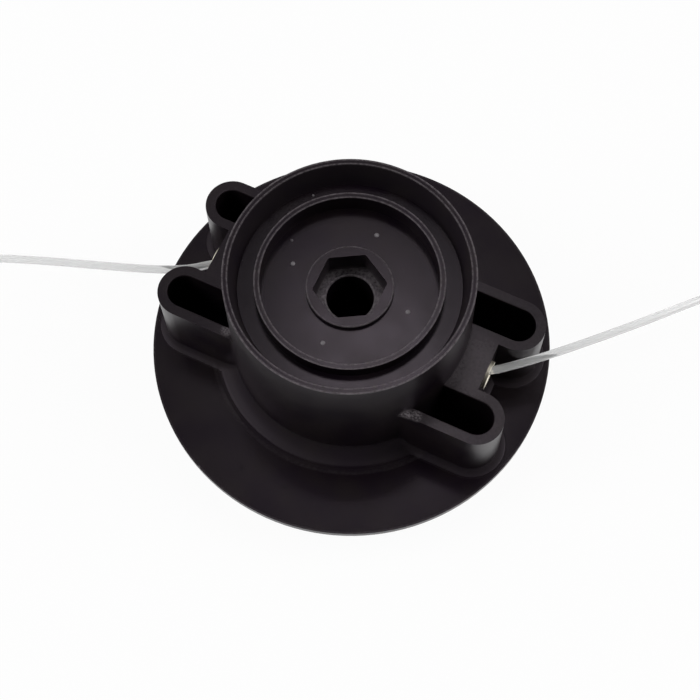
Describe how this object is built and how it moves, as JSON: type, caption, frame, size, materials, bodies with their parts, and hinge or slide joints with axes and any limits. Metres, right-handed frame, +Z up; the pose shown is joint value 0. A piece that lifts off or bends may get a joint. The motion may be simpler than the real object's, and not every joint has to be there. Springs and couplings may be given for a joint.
{
  "type": "trimmer head",
  "caption": "Black plastic grass trimmer head: recessed round hub with hexagon socket, slotted side lobes, wide disc, spring-loaded press knob below and clear cutting line ends.",
  "frame": {"origin": "centre of the knob's ground face, on the head's axis", "axes": "+Z up along the axis towards the gearbox, +X through the right line exit"},
  "size_m": [0.2458, 0.1337, 0.0645],
  "materials": {
    "black_nylon": "moulded, satin",
    "spool_nylon": "moulded, satin",
    "cutting_line": "clear nylon",
    "eyelet_brass": "plain turned",
    "spring_steel": "bright drawn"
  },
  "bodies": {
    "housing": {"housing": "black_nylon", "drive_boss": "black_nylon", "cover": "black_nylon", "eyelet_right": "eyelet_brass", "eyelet_left": "eyelet_brass", "spring": "spring_steel", "line_right": "cutting_line", "line_left": "cutting_line"},
    "knob": {"bump_knob": "black_nylon"},
    "spool": {"spool": "spool_nylon", "line_winding": "cutting_line", "thrust_washer": "spring_steel"}
  },
  "joints": [
    {"name": "knob_press", "type": "slide", "parent": "housing", "child": "knob", "axis": [0, 0, 1], "range_m": [0, 0.005], "stiffness_N_per_m": 1500, "springref_m": -0.012, "deforming": ["spring"]},
    {"name": "spool_turn", "type": "hinge", "parent": "knob", "child": "spool", "pos_m": [0, 0, 0.0335], "axis": [0, 0, 1], "range_deg": [-60, 0]}
  ]
}
